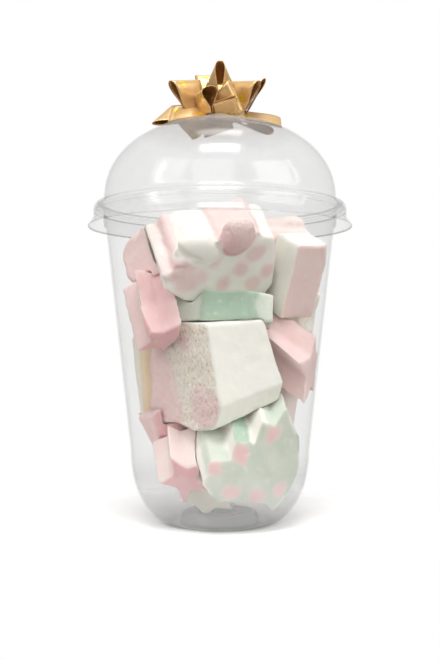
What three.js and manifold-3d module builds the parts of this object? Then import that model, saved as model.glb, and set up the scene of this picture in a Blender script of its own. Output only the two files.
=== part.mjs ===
// A lidded cup of marshmallows with a ribbon bow on its dome.
// Millimetres, +Z up; the origin is the centre of the cup's foot, and the front is towards -Y.
import * as THREE from "three";
import { mergeVertices } from "three/addons/utils/BufferGeometryUtils.js";
import Module from "manifold-3d";

const wasm = await Module();
wasm.setup();

// ---- Driving dimensions ----
const SIDES = 32; // round a turned piece
const GAP = 0.35; // between neighbouring solids

const CUP = {
  wall: 0.5,
  foot: 18.3, // radius of the ring that it stands on
  heel: { width: 16, height: 28, power: 2, steps: 6 },
  taper: 0.1124, // growth of the radius with height, above the heel
  recess: { radius: 15, depth: 3.8, slope: 1.4 }, // the pushed-up middle of the floor
  step: { from: 112.4, to: 113.6, out: 0.9 }, // the stacking step under the rim
  lean: 0.4, // outward, from the step up to the rim
  rim: { radius: 46.2, height: 120, width: 1.4, rise: 1.3, steps: 3 }, // the rolled edge, from its middle
};

const LID = {
  wall: 0.45,
  dome: { radius: 44.6, base: 124, top: 155.2, power: 2.15, steps: 8 },
  shoulder: { radius: 45.4, height: 120.1, width: 3.2, rise: 2.4, steps: 3 }, // a quarter round
  skirt: 116.4, // its lowest point
  flare: { radius: 49.5, height: 115.2 },
  lip: { radius: 50.75, height: 113.1 },
};

const BOW = {
  ribbon: 13, // width
  film: 0.45,
  pinch: 0.6, // the share of its width that the ribbon keeps at the hub
  hub: { radius: 6.5, height: 3.2 },
  pad: { radius: 8, thickness: 0.6 },
  steps: 8, // round a petal's loop
  ends: 0.035, // the part of the loop left open at each end, inside the hub
};

// Petals are loops of ribbon. base is the middle of the loop's end, and out the [azimuth, elevation] that
// it runs to: azimuth 0 is the front and 90 the right. Unrolled, the ribbon lies flat, and a roll of 90
// stands it on its edge. Across the ribbon a loop grows fatter by taper and longer by skew.
const PETALS = [
  { base: [-1, -3, 0.8], out: [-74, -8], roll: -46, length: 19, belly: 0.9, taper: -0.3, skew: -6 },
  { base: [-2, 2, 1.6], out: [-94, 0], roll: -42, length: 21, belly: 1, taper: -0.3, skew: -6 },
  { base: [2, 0, 2], out: [84, -15], roll: 34, length: 22.5, belly: 1, taper: 0.2, skew: 3 },
  { base: [1, 3, 0.8], out: [132, -2], roll: 24, length: 21, belly: 1.6, taper: 0.4, skew: 3 },
  { base: [0, 3, 0.8], out: [-178, -2], roll: -24, length: 21, belly: 1.6, taper: 0.4, skew: 3 },
  { base: [-1, 3, 0.8], out: [-138, -2], roll: 24, length: 21, belly: 1.6, taper: 0.4, skew: 3 },
  { base: [-9.3, -2, 1.2], out: [-58, 67], roll: 90, length: 12.8, belly: 1.6, taper: 1.2, skew: 3 },
  { base: [6, -2, 1.5], out: [58, 70], roll: 90, length: 12, belly: 1.6, taper: 1.2, skew: 3 },
  { base: [9.5, 1, 1.2], out: [95, 62], roll: 5, length: 13.5, belly: 0.8, taper: 0.5, skew: 2 },
  { base: [-3, 6, 2.6], out: [-176, 68], roll: 0, length: 18.4, belly: 1.4, taper: 0, skew: 0 },
  { base: [0, 0, 3.5], out: [0, 88], roll: 90, length: 13.6, belly: 4, taper: -1.2, skew: 6 },
  { base: [-4.6, -6.2, -1.6], out: [-55, 75], roll: 171, length: 10.2, belly: 2.3, taper: 1.2, skew: 1 },
  { base: [-2.2, -7, 1.4], out: [72, 26], roll: -66, length: 10, belly: 2.4, taper: 0.6, skew: 1 },
  { base: [-3, -8, 0.2], out: [80, 4], roll: -30, length: 10, belly: 0.7, taper: 0, skew: 1 },
];

const EASE = 1.6; // the bevel round a marshmallow's cut ends

// Cross-sections of the marshmallow logs. A rope's lobes are round, and a star's points are sharp. The loaf,
// the wedge, the crest and the slab are given by their corners.
const SECTIONS = {
  rope: { lobes: 7, lobe: 0.38, points: 3 },
  bun: { lobes: 5, lobe: 0.62, points: 4 },
  brick: { lobes: 4, valley: 0.74, points: 2 },
  star: { lobes: 5, valley: 0.48, points: 2 },
  cog: { lobes: 7, valley: 0.74, points: 2 },
  loaf: {
    corners: [
      [0.78, -0.58], [0.74, 0.9], [0.1, 1], [-0.52, 0.82], [-0.77, 0.3], [-0.75, -0.15], [-0.88, -0.5],
      [-0.76, -0.8], [-0.3, -0.8], [0.12, -0.98], [0.56, -0.98],
    ],
  },
  wedge: {
    corners: [
      [1.05, -0.71], [0.95, 0.25], [0.84, 0.65], [0.51, 0.88], [-0.09, 0.57], [-0.67, 0.28],
      [-0.97, -0.2], [-0.88, -0.62], [-0.5, -1], [0, -1.08], [0.25, -0.91], [0.57, -1.02], [0.94, -1],
    ],
  },
  crest: {
    corners: [
      [0.31, -0.97], [0.71, -0.62], [0.94, -0.32], [0.9, 0.25], [0.71, 0.62], [0.53, 1], [0.32, 0.7],
      [0.08, 0.85], [-0.06, 0.48], [-0.4, 0.55], [-0.5, 0.24], [-0.85, 0.2], [-1, -0.2], [-0.78, -0.53],
      [-0.44, -0.62], [-0.14, -0.67], [0.16, -0.7],
    ],
  },
  slab: {
    corners: [
      [0.93, 0.1], [0.93, 0.6], [0.5, 0.97], [0.2, 0.9], [-0.13, 0.98], [-0.2, 0.82], [-0.8, 0.5],
      [-0.95, -0.1], [-0.6, -0.7], [0, -0.9], [0.7, -0.6],
    ],
  },
};

// Marshmallows, the firmest first: each one is pressed in by those before it. A row holds the name, the
// section, the [half width, half height, length], the centre, the [azimuth, elevation] that one end faces,
// the turn of the section about the length and its twist along the length. Where a log isn't cut square, the
// [sideways, upward, sideways, upward] slopes follow, of that end's cut and of the other's, and then any
// growth of its height towards that end.
const MARSHMALLOWS = [
  ["front", "loaf", [21.5, 18.5, 26], [-3.1, -14.6, 58.7], [-68, -14], 0, 0,
    [-0.44, -0.1, -0.44, 0.07], 0.23],
  ["top", "wedge", [23.2, 15.3, 26], [-2.6, -17.8, 105.3], [20, -44], 3, -6, [-0.15, -0.1, 0.2, 0]],
  ["mint_low", "crest", [20, 19.3, 28], [11.5, -20.7, 28.7], [12, -28], 0, 10],
  ["star_low", "star", [10.5, 10.5, 20], [-14.2, -14.5, 25.9], [15, -50], -18, 6, [0.3, -0.45, 0, 0]],
  ["star_left", "star", [11.8, 12, 28], [-23, -16, 81], [26, -58], 2, 8],
  ["mint_middle", "slab", [24, 18, 12], [-2.5, -9, 79.6], [0, -80], 0, 4],
  ["right_tall", "brick", [10.4, 10.4, 31], [28.6, -6.9, 94.5], [23, 63], -37, 4],
  ["star_right", "star", [13, 13, 34], [28, -9, 63], [60, -30], 20, 20],
  ["left_high", "bun", [12, 11.5, 24], [-21.5, -3, 101], [-40, 5], 15, 20],
  ["lemon_left", "rope", [13, 12, 36], [-21.5, 8, 55], [-90, 84], 0, 20],
  ["pink_left", "rope", [11, 11, 20], [-18.5, 0, 37], [-70, 60], 0, 20],
  ["cream_floor", "cog", [14, 13, 26], [-2, -4, 20], [-20, -24], 0, 14],
  ["right_low", "bun", [13, 12, 32], [18, 4, 44], [80, 80], 0, 12],
  ["lemon_right", "rope", [12, 12, 32], [26, 13, 76], [100, 70], 0, 20],
  ["right_back", "rope", [15, 14, 28], [20, 16, 106], [130, 8], 0, 20],
  ["back_top", "rope", [16, 15, 30], [-10, 20, 104], [-165, 10], 0, 20],
  ["back_mint", "cog", [16, 16, 30], [-20, 18, 78], [-140, 25], 0, 14],
  ["back_star", "star", [15, 15, 30], [6, 22, 78], [160, 60], 0, 10],
  ["back_white", "bun", [16, 15, 32], [-10, 20, 52], [-160, -15], 0, 12],
  ["back_pink", "brick", [15, 14, 32], [14, 20, 50], [150, 50], 0, 8],
  ["back_low", "brick", [15, 14, 28], [4, 15, 23], [160, 10], 0, 20],
].map(([name, section, size, at, aim, roll, twist, slopes = [0, 0, 0, 0], growth = 0]) => ({
  name,
  section,
  size,
  at,
  aim,
  roll,
  twist,
  slopes,
  growth,
}));

// The swollen ends of two torn strands, in the space of the marshmallow that they are part of.
const TORN = {
  on: "top",
  sides: 12,
  ends: [
    { at: [3.4, 12, 10.3], size: [6.8, 7.6, 5] },
    { at: [-9.5, 5, 10], size: [9, 6.5, 5] },
  ],
};

const finish = (color, roughness, more = {}) => new THREE.MeshStandardMaterial({ color, roughness, ...more });
const FINISHES = {
  plastic: finish(0xe8ecee, 0.08, { transparent: true, opacity: 0.25 }),
  gold: finish(0xc9a066, 0.28, { metalness: 0.8 }),
  pad: finish(0xd8d2c6, 0.6),
  blush: finish(0xf3e6e2, 0.9),
  pink: finish(0xf0c9ca, 0.9),
  mint: finish(0xcfe3d6, 0.9),
  lemon: finish(0xf3e4bd, 0.9),
};

// ---- Working with solids ----
const degrees = THREE.MathUtils.degToRad;

// A closed geometry as a solid, placed by a matrix.
function solidOf(geometry, matrix = new THREE.Matrix4()) {
  const bare = new THREE.BufferGeometry().setAttribute("position", geometry.getAttribute("position"));
  if (geometry.index) bare.setIndex(geometry.index);
  const merged = mergeVertices(bare.clone().applyMatrix4(matrix), 1e-4);
  return new wasm.Manifold(
    new wasm.Mesh({
      numProp: 3,
      vertProperties: merged.attributes.position.array,
      triVerts: new Uint32Array(merged.index.array),
    }),
  );
}

// A solid as a geometry, taken back into the space of a matrix.
function geometryOf(solid, matrix = new THREE.Matrix4()) {
  const made = solid.getMesh();
  const geometry = new THREE.BufferGeometry();
  geometry.setAttribute("position", new THREE.BufferAttribute(new Float32Array(made.vertProperties), 3));
  geometry.setIndex(new THREE.BufferAttribute(new Uint32Array(made.triVerts), 1));
  geometry.applyMatrix4(matrix.clone().invert());
  geometry.computeVertexNormals();
  return geometry;
}

// The largest of a solid's separate bodies.
function largest(solid) {
  return solid.decompose().reduce((most, body) => (body.volume() > most.volume() ? body : most));
}

function mesh(name, geometry, material) {
  const made = new THREE.Mesh(geometry, material);
  made.name = name;
  return made;
}

// A piece turned about Z from [radius, height] points, anticlockwise in the half plane.
function turned(points) {
  const profile = points.map(([r, z]) => new THREE.Vector2(r, z));
  return new THREE.LatheGeometry(profile, SIDES).rotateX(Math.PI / 2);
}

// ---- Cup and lid ----
// Points along an ellipse in the half plane, from one angle to another, with its half axes less an inset.
function arc({ radius, height, width, rise, steps }, from, to, inset = 0) {
  return Array.from({ length: steps + 1 }, (_, i) => {
    const angle = degrees(from + ((to - from) * i) / steps);
    return [radius + (width - inset) * Math.cos(angle), height + (rise - inset) * Math.sin(angle)];
  });
}

const wallRadius = (z) => CUP.foot + CUP.heel.width + CUP.taper * (z - CUP.heel.height);

// The cup's outer surface from the foot up to the shoulder, moved inwards by inset.
function cupSide(inset) {
  const { width, height, power, steps } = CUP.heel;
  const side = [];
  for (let i = 0; i <= steps; i++) {
    const up = (i / steps) ** 2;
    const out = (1 - (1 - up) ** power) ** (1 / power);
    side.push([CUP.foot + (width - inset) * out, inset + (height - inset) * up]);
  }
  side.push([wallRadius(CUP.step.from) - inset, CUP.step.from]);
  return side;
}

function cupGeometry() {
  const { wall, recess, step, lean, rim } = CUP;
  const neck = wallRadius(step.from) + step.out;
  const underRim = rim.height - rim.rise;
  const outside = [
    [0, recess.depth],
    [recess.radius - recess.slope, recess.depth],
    [recess.radius, 0],
    ...cupSide(0),
    [neck, step.to],
    [neck + lean, underRim],
    ...arc(rim, -90, 90),
  ];
  const inside = [
    [neck + lean, rim.height],
    [neck + lean - wall, underRim],
    [neck - wall, step.to],
    ...cupSide(wall).reverse(),
    [recess.radius + wall, wall],
    [recess.radius - recess.slope + wall, recess.depth + wall],
    [0, recess.depth + wall],
  ];
  return turned([...outside, ...inside]);
}

// The dome from its base to the middle of its top, moved inwards by inset.
function domeSide(inset) {
  const { radius, base, top, power, steps } = LID.dome;
  const side = [];
  for (let i = 0; i <= steps; i++) {
    const angle = (i / steps) * (Math.PI / 2);
    const out = (radius - inset) * Math.cos(angle) ** (2 / power);
    side.push([out, base + (top - inset - base) * Math.sin(angle) ** (2 / power)]);
  }
  side[steps][0] = 0;
  return side;
}

// The lid below its dome, from the lip's edge up, moved inwards by inset.
function lidSide(inset) {
  const { shoulder, skirt, flare } = LID;
  return [
    [flare.radius - inset, flare.height - inset],
    [shoulder.radius + shoulder.width - inset, skirt],
    ...arc(shoulder, 0, 90, inset),
  ];
}

function lidGeometry() {
  const { wall, lip } = LID;
  const outside = [[lip.radius, lip.height], [lip.radius, lip.height + wall], ...lidSide(0), ...domeSide(0)];
  return turned([...outside, ...[...lidSide(wall), ...domeSide(wall)].reverse(), outside[0]]);
}

// The room inside the closed cup, a gap clear of its walls, its floor and the dome.
function roomGeometry() {
  const inset = CUP.wall + GAP;
  const { recess, rim } = CUP;
  return turned([
    [0, recess.depth + inset],
    [recess.radius - recess.slope + inset, recess.depth + inset],
    [recess.radius + inset, inset],
    ...cupSide(inset),
    [wallRadius(CUP.step.from) - inset, rim.height + rim.rise],
    ...domeSide(inset),
  ]);
}

// ---- Marshmallows ----
// The radius of a section of radius 1 at an angle from the middle of a lobe.
function sectionRadius({ lobes, lobe, valley }, angle) {
  const half = Math.PI / lobes;
  if (lobe) {
    const centre = 1 - lobe;
    return centre * Math.cos(angle) + Math.sqrt(lobe ** 2 - (centre * Math.sin(angle)) ** 2);
  }
  const off = Math.abs(angle);
  return (valley * Math.sin(half)) / (Math.sin(off) + valley * Math.sin(half - off));
}

// A section's outline as [angle, radius] points, of radius 1.
function sectionOutline(section) {
  if (section.corners) return section.corners.map(([x, y]) => [Math.atan2(y, x), Math.hypot(x, y)]);
  const outline = [];
  for (let i = 0; i < section.lobes; i++) {
    for (let j = 0; j < section.points; j++) {
      const offset = ((2 * j) / section.points - 1) * (Math.PI / section.lobes);
      outline.push([(2 * Math.PI * i) / section.lobes + offset, sectionRadius(section, offset)]);
    }
  }
  return outline;
}

// A section wide by high, with grow added all round.
function sectionShape(section, width, height, grow) {
  const outline = sectionOutline(section).map(([angle, radius]) => {
    const across = (radius * width + grow) * Math.cos(angle);
    return new THREE.Vector2(across, (radius * height + grow) * Math.sin(angle));
  });
  return new THREE.Shape(outline);
}

// A log of marshmallow, centred, along Z: its section turns as it runs, its ends are eased and may slant.
function logGeometry({ section, size: [width, height, length], roll, twist, slopes, growth }, grow) {
  const depth = length + 2 * grow - 2 * EASE;
  const geometry = new THREE.ExtrudeGeometry(sectionShape(SECTIONS[section], width, height, grow), {
    depth,
    steps: 1,
    bevelSize: EASE,
    bevelOffset: -EASE,
    bevelThickness: EASE,
    bevelSegments: 1,
  }).translate(0, 0, -depth / 2);
  const position = geometry.getAttribute("position");
  const point = new THREE.Vector3();
  const axis = new THREE.Vector3(0, 0, 1);
  for (let i = 0; i < position.count; i++) {
    const along = position.getZ(i) / length;
    point.fromBufferAttribute(position, i);
    point.y *= 1 + growth * along;
    point.applyAxisAngle(axis, degrees(roll + twist * along));
    const sideways = THREE.MathUtils.lerp(slopes[2], slopes[0], along + 0.5);
    const upward = THREE.MathUtils.lerp(slopes[3], slopes[1], along + 0.5);
    position.setXYZ(i, point.x, point.y, point.z + sideways * point.x + upward * point.y);
  }
  return geometry;
}

// A marshmallow before it is pressed, with grow added all round.
function logSolid(spec, place, grow) {
  let log = solidOf(logGeometry(spec, grow), place);
  if (spec.name !== TORN.on) return log;
  for (const { at, size } of TORN.ends) {
    const end = new THREE.SphereGeometry(1, TORN.sides, TORN.sides / 2)
      .scale(...size.map((radius) => radius + grow))
      .translate(...at);
    log = log.add(solidOf(end, place));
  }
  return log;
}

// The turn that takes +Z to an azimuth and elevation, after a roll about Z.
function aimed([azimuth, elevation], roll) {
  const turn = new THREE.Quaternion().setFromEuler(
    new THREE.Euler(degrees(90 - elevation), 0, degrees(azimuth), "ZXY"),
  );
  return turn.multiply(new THREE.Quaternion().setFromAxisAngle(new THREE.Vector3(0, 0, 1), degrees(roll)));
}

// Marshmallows are mint, lemon or pink where their names say so, and otherwise white with pink bands.
function marshmallowFinish(name) {
  if (name.includes("mint") || name.includes("cream")) return FINISHES.mint;
  if (name.includes("lemon")) return FINISHES.lemon;
  return name.includes("star") || name.includes("pink") ? FINISHES.pink : FINISHES.blush;
}

function marshmallows() {
  const room = solidOf(roomGeometry());
  const group = new THREE.Group();
  let taken = null;
  for (const spec of MARSHMALLOWS) {
    const place = new THREE.Matrix4().compose(
      new THREE.Vector3(...spec.at),
      aimed(spec.aim, 0),
      new THREE.Vector3(1, 1, 1),
    );
    let solid = logSolid(spec, place, 0).intersect(room);
    if (taken) solid = solid.subtract(taken);
    const grown = logSolid(spec, place, GAP);
    taken = taken ? taken.add(grown) : grown;
    const name = "marshmallow_" + spec.name;
    const made = mesh(name, geometryOf(largest(solid), place), marshmallowFinish(spec.name));
    made.applyMatrix4(place);
    group.add(made);
  }
  return group;
}

// ---- Bow ----
// One loop of ribbon: it leaves the hub along +X and comes back, with the ribbon's width along Z.
function petalGeometry({ length, belly, taper, skew }) {
  const { film, ribbon, steps, ends, pinch } = BOW;
  const fullest = 0.77; // the most that the bulge's two sines come to
  const onLoop = (t, across) => {
    const out = Math.sin(Math.PI * t);
    const bulge = (belly / fullest) * Math.sin(2 * Math.PI * t) * out;
    const least = Math.abs(t - 0.5) > 0.25 ? film : Math.min(film, Math.abs(bulge));
    const more = Math.max(Math.abs(bulge) - film, 0) * (1 + taper * across);
    return new THREE.Vector2(length * out, Math.sign(bulge) * (least + more));
  };
  const points = [];
  const corners = [
    [-0.5, 1],
    [0.5, 1],
    [0.5, -1],
    [-0.5, -1],
  ];
  for (let i = 0; i <= steps; i++) {
    const t = ends + ((1 - 2 * ends) * i) / steps;
    for (const [across, face] of corners) {
      const along = onLoop(t + ends / 4, across).sub(onLoop(t - ends / 4, across)).normalize();
      const side = new THREE.Vector2(-along.y, along.x).multiplyScalar((face * film) / 2);
      const at = onLoop(t, across).add(side);
      const share = at.x / length;
      points.push(at.x + skew * across * share, at.y, ribbon * across * (pinch + (1 - pinch) * share));
    }
  }
  const last = 4 * steps;
  const faces = [0, 2, 1, 0, 3, 2, last, last + 1, last + 2, last, last + 2, last + 3];
  for (let i = 0; i < steps; i++) {
    for (let k = 0; k < 4; k++) {
      const [a, b] = [4 * i + k, 4 * i + ((k + 1) % 4)];
      faces.push(a, b, b + 4, a, b + 4, a + 4);
    }
  }
  return new THREE.BufferGeometry()
    .setAttribute("position", new THREE.Float32BufferAttribute(points, 3))
    .setIndex(faces);
}

function bow() {
  const group = new THREE.Group();
  const { hub, pad } = BOW;
  const disc = (radius, height, low) =>
    new THREE.CylinderGeometry(radius, radius, height, SIDES / 2)
      .rotateX(Math.PI / 2)
      .translate(0, 0, low + height / 2);
  const base = LID.dome.top + GAP;
  const foot = base + pad.thickness + GAP;
  group.add(mesh("bow_pad", disc(pad.radius, pad.thickness, base), FINISHES.pad));
  let solid = solidOf(disc(hub.radius, hub.height, foot));
  const outToX = new THREE.Quaternion().setFromEuler(new THREE.Euler(0, -Math.PI / 2, 0));
  for (const petal of PETALS) {
    const place = new THREE.Matrix4().compose(
      new THREE.Vector3(petal.base[0], petal.base[1], foot + petal.base[2]),
      aimed(petal.out, petal.roll).multiply(outToX),
      new THREE.Vector3(1, 1, 1),
    );
    solid = solid.add(solidOf(petalGeometry(petal), place));
  }
  const dome = solidOf(turned([[0, LID.dome.base], ...domeSide(-GAP)]));
  const below = dome.add(solidOf(disc(pad.radius + GAP, foot - LID.dome.base, LID.dome.base)));
  group.add(mesh("bow_ribbon", geometryOf(largest(solid.subtract(below))), FINISHES.gold));
  return group;
}

const root = new THREE.Group();
root.add(mesh("cup", cupGeometry(), FINISHES.plastic));
root.add(mesh("lid", lidGeometry(), FINISHES.plastic));
root.add(marshmallows());
root.add(bow());

export default root;
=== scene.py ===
"""A lidded cup of marshmallows with a ribbon bow on its dome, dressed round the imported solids."""

import math
from itertools import product

import bmesh
import bpy
import numpy as np
from mathutils import Euler, Matrix, Vector


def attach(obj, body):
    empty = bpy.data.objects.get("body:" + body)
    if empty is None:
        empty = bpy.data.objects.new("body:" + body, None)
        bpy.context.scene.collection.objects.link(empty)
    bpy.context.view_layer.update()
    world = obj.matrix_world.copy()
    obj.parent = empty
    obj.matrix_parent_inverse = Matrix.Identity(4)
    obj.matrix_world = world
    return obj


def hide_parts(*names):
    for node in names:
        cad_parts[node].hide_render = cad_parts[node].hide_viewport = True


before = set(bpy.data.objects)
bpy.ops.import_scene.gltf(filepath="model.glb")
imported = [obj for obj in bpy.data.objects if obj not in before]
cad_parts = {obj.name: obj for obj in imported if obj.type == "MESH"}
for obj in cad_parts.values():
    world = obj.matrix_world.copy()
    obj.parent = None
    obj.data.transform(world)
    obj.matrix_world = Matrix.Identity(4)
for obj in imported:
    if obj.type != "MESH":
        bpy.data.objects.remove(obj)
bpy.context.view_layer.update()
MM = 0.001  # lengths below are in millimetres, and meshes in metres

# ---- Sizes and places, in millimetres ----
EYE = Vector((0, -365, 68))
EYE_TILT = 0.911  # degrees above level
LENS = 51.45

GAP = 0.35  # between neighbouring pieces
SOFT_GAP = 0.03  # between neighbouring marshmallows
CUP = dict(
    wall=0.5, foot=18.3, heel_width=16, heel_height=28, taper=0.1124,
    recess=15, recess_depth=3.8, recess_slope=1.4,
    step=112.4, step_height=1.2, step_out=0.9, lean=0.4,
    rim=46.2, rim_height=120, rim_width=1.4, rim_rise=1.3,
)
LID = dict(
    wall=0.45, dome=44.6, base=124, top=155.2, power=2.15,
    shoulder=45.4, shoulder_height=120.1, shoulder_width=3.2, shoulder_rise=2.4,
    skirt=116.4, flare=49.5, flare_height=115.2, lip=50.75, lip_height=113.1,
)
SIDES = dict(cup=256, room=160, pad=96)  # of the pieces that are turned about the axis

# The bow: the ribbon's width and thickness, the least half opening of a petal, how narrow its foot is and
# where its loop starts as shares, and the steps along and across it. Then come the hub, the glue pad, how
# clear the petals stay of what is under them, and how far the print moves on from petal to petal.
BOW = dict(
    ribbon=13, film=0.22, least=0.45, pinch=0.6, ends=0.035, steps=56, strips=12,
    hub=6.5, hub_height=3.2, hub_ease=0.5, hub_sides=48,
    pad=8, pad_thickness=0.6, pad_ease=0.25, clear=0.3, print_shift=13,
)
STAR = dict(pitch=9.0, sway=2.6, turn=2.1, curve=0.55, size=(1.88, 1.76))  # the print along the ribbon

# A petal is a loop of ribbon: the middle of its end above the bow's foot, the (azimuth, elevation) that it
# runs to, its roll, its length and its belly. Across the ribbon it grows fatter by taper and longer by skew.
PETALS = [
    ((-1, -3, 0.8), (-74, -8), -46, 19, 0.9, -0.3, -6),
    ((-2, 2, 1.6), (-94, 0), -42, 21, 1, -0.3, -6),
    ((2, 0, 2), (84, -15), 34, 22.5, 1, 0.2, 3),
    ((1, 3, 0.8), (132, -2), 24, 21, 1.6, 0.4, 3),
    ((0, 3, 0.8), (-178, -2), -24, 21, 1.6, 0.4, 3),
    ((-1, 3, 0.8), (-138, -2), 24, 21, 1.6, 0.4, 3),
    ((-9.3, -2, 1.2), (-58, 67), 90, 12.8, 1.6, 1.2, 3),
    ((6, -2, 1.5), (58, 70), 90, 12, 1.6, 1.2, 3),
    ((9.5, 1, 1.2), (95, 62), 5, 13.5, 0.8, 0.5, 2),
    ((-3, 6, 2.6), (-176, 68), 0, 18.4, 1.4, 0, 0),
    ((0, 0, 3.5), (0, 88), 90, 13.6, 4, -1.2, 6),
    ((-4.6, -6.2, -1.6), (-55, 75), 171, 10.2, 2.3, 1.2, 1),
    ((-2.2, -7, 1.4), (72, 26), -66, 10, 2.4, 0.6, 1),
    ((-3, -8, 0.2), (80, 4), -30, 10, 0.7, 0, 1),
]

# Sections of the marshmallow logs. A rope's lobes are round, and a star's points are sharp. The loaf, the
# wedge, the crest and the slab are given by their corners.
SECTIONS = dict(
    rope=dict(lobes=7, lobe=0.38),
    bun=dict(lobes=5, lobe=0.62),
    brick=dict(lobes=4, valley=0.74),
    star=dict(lobes=5, valley=0.48),
    cog=dict(lobes=7, valley=0.74),
    loaf=dict(
        lobes=5,
        corners=[
            (0.78, -0.58), (0.74, 0.9), (0.1, 1), (-0.52, 0.82), (-0.77, 0.3), (-0.75, -0.15), (-0.88, -0.5),
            (-0.76, -0.8), (-0.3, -0.8), (0.12, -0.98), (0.56, -0.98),
        ],
    ),
    wedge=dict(
        lobes=7,
        corners=[
            (1.05, -0.71), (0.95, 0.25), (0.84, 0.65), (0.51, 0.88), (-0.09, 0.57), (-0.67, 0.28),
            (-0.97, -0.2), (-0.88, -0.62), (-0.5, -1), (0, -1.08), (0.25, -0.91), (0.57, -1.02),
            (0.94, -1),
        ],
    ),
    crest=dict(
        lobes=7,
        corners=[
            (0.31, -0.97), (0.71, -0.62), (0.94, -0.32), (0.9, 0.25), (0.71, 0.62), (0.53, 1), (0.32, 0.7),
            (0.08, 0.85), (-0.06, 0.48), (-0.4, 0.55), (-0.5, 0.24), (-0.85, 0.2), (-1, -0.2),
            (-0.78, -0.53), (-0.44, -0.62), (-0.14, -0.67), (0.16, -0.7),
        ],
    ),
    slab=dict(
        lobes=7,
        corners=[
            (0.93, 0.1), (0.93, 0.6), (0.5, 0.97), (0.2, 0.9), (-0.13, 0.98), (-0.2, 0.82), (-0.8, 0.5),
            (-0.95, -0.1), (-0.6, -0.7), (0, -0.9), (0.7, -0.6),
        ],
    ),
)
EASE = 1.6  # how far a cut end is rounded
LOG_STEPS = dict(lobe=22, ease=7, side=14)  # points round a lobe, over a rounded edge and along the side
BALL_STEPS = dict(rows=25, sides=48)

# Marshmallows, the firmest first, as each is pressed in by those before it: the name, section, (half width,
# half height, length), centre, (azimuth, elevation) that one end faces, roll and twist. Then come the tints
# round its side, in equal shares anticlockwise from its right, and that of its middle, by their letters
# below. Then comes how crumbly its cuts are. Last, where it isn't cut square, are the (sideways, upward,
# sideways, upward) slopes of that end's cut and of the other's, and any growth of its height towards that
# end.
MARSHMALLOWS = [
    ("front", "loaf", (21.5, 18.5, 26), (-3.1, -14.6, 58.7), (-68, -14), 0, 0, "w", "c", 1,
     (-0.44, -0.1, -0.44, 0.07), 0.23),
    ("top", "wedge", (23.2, 15.3, 26), (-2.6, -17.8, 105.3), (20, -44), 3, -6, "wwppwwpbwwwwww", "w", 0,
     (-0.15, -0.1, 0.2, 0)),
    ("mint_low", "crest", (20, 19.3, 28), (11.5, -20.7, 28.7), (12, -28), 0, 10, "gwmwgwmwgwmwgw", "h", 0.1),
    # The rose middles of star_low and star_left are their pink cores, deepened to paint the shade on their
    # downward cut ends.
    ("star_low", "star", (10.5, 10.5, 20), (-14.2, -14.5, 25.9), (15, -50), -18, 6, "s", "r", 0.1,
     (0.3, -0.45, 0, 0)),
    ("star_left", "star", (11.8, 12, 28), (-23, -16, 81), (26, -58), 2, 8, "pqppp", "r", 0.1),
    ("mint_middle", "slab", (24, 18, 12), (-2.5, -9, 79.6), (0, -80), 0, 4, "mmggmmmmgwmgwm", "m", 0.1),
    ("right_tall", "brick", (10.4, 10.4, 31), (28.6, -6.9, 94.5), (23, 63), -37, 4, "wwaawwaa", "w", 0.5),
    ("star_right", "star", (13, 13, 34), (28, -9, 63), (60, -30), 20, 20, "p", "p", 0.1),
    ("left_high", "bun", (12, 11.5, 24), (-21.5, -3, 101), (-40, 5), 15, 20, "wwpppppp", "p", 0),
    ("lemon_left", "rope", (13, 12, 36), (-21.5, 8, 55), (-90, 84), 0, 20, "oploco", "o", 0),
    ("pink_left", "rope", (11, 11, 20), (-18.5, 0, 37), (-70, 60), 0, 20, "rprprpr", "p", 0),
    ("cream_floor", "cog", (14, 13, 26), (-2, -4, 20), (-20, -24), 0, 14, "cm", "c", 0.1),
    ("right_low", "bun", (13, 12, 32), (18, 4, 44), (80, 80), 0, 12, "cb", "c", 0),
    ("lemon_right", "rope", (12, 12, 32), (26, 13, 76), (100, 70), 0, 20, "ppcwc", "c", 0),
    ("right_back", "rope", (15, 14, 28), (20, 16, 106), (130, 8), 0, 20, "pbpbp", "b", 0),
    ("back_top", "rope", (16, 15, 30), (-10, 20, 104), (-165, 10), 0, 20, "wpwpwpw", "w", 0.3),
    ("back_mint", "cog", (16, 16, 30), (-20, 18, 78), (-140, 25), 0, 14, "gwmwgwmwgwmwgw", "m", 0.1),
    ("back_star", "star", (15, 15, 30), (6, 22, 78), (160, 60), 0, 10, "p", "p", 0.1),
    ("back_white", "bun", (16, 15, 32), (-10, 20, 52), (-160, -15), 0, 12, "wwwpw", "w", 0.6),
    ("back_pink", "brick", (15, 14, 32), (14, 20, 50), (150, 50), 0, 8, "ppccppcc", "c", 0.3),
    ("back_low", "brick", (15, 14, 28), (4, 15, 23), (160, 10), 0, 20, "wpwlwpw", "w", 0.1),
]

# The swollen ends of two torn strands, as (centre, half axes, tint), in the space of their marshmallow.
TORN = dict(top=[((3.4, 12, 10.3), (6.8, 7.6, 5), 0.7), ((-9.5, 5, 10), (9, 6.5, 5), 0)])

# Pink spots on the end that a marshmallow's azimuth and elevation name, as (x, y, radius) across its section.
SPOTS = dict(
    top=[(-15, -1, 5), (-12, -6, 4), (-7, -4, 3), (-3, 1, 3), (3, -8, 3), (8, -2, 3), (13, 4, 3.4),
         (15, -9, 3), (20, -4, 2.6), (5, 11, 5)],
    mint_low=[(-15, 1.8, 2.7), (-6, 6.3, 2.7), (-10.2, -6.3, 2.7), (6, 10.8, 2.7), (-0.8, -9.1, 2.7),
              (8.7, -10, 2.7)],
    front=[(9, -10, 7), (-6, -11, 4), (3, 12, 3)],
    back_mint=[(-7, 4, 2.6), (2, 8, 2.6), (-3, -6, 2.6), (8, -3, 2.6), (4, 1, 2.2)],
    back_top=[(-7, 4, 2.6), (2, 8, 2.6), (-3, -6, 2.6), (8, -3, 2.6)],
)
SMOOTH_SIDE = dict(front=-4)  # left of this across its section, that end is smooth and not crumbly

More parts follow.
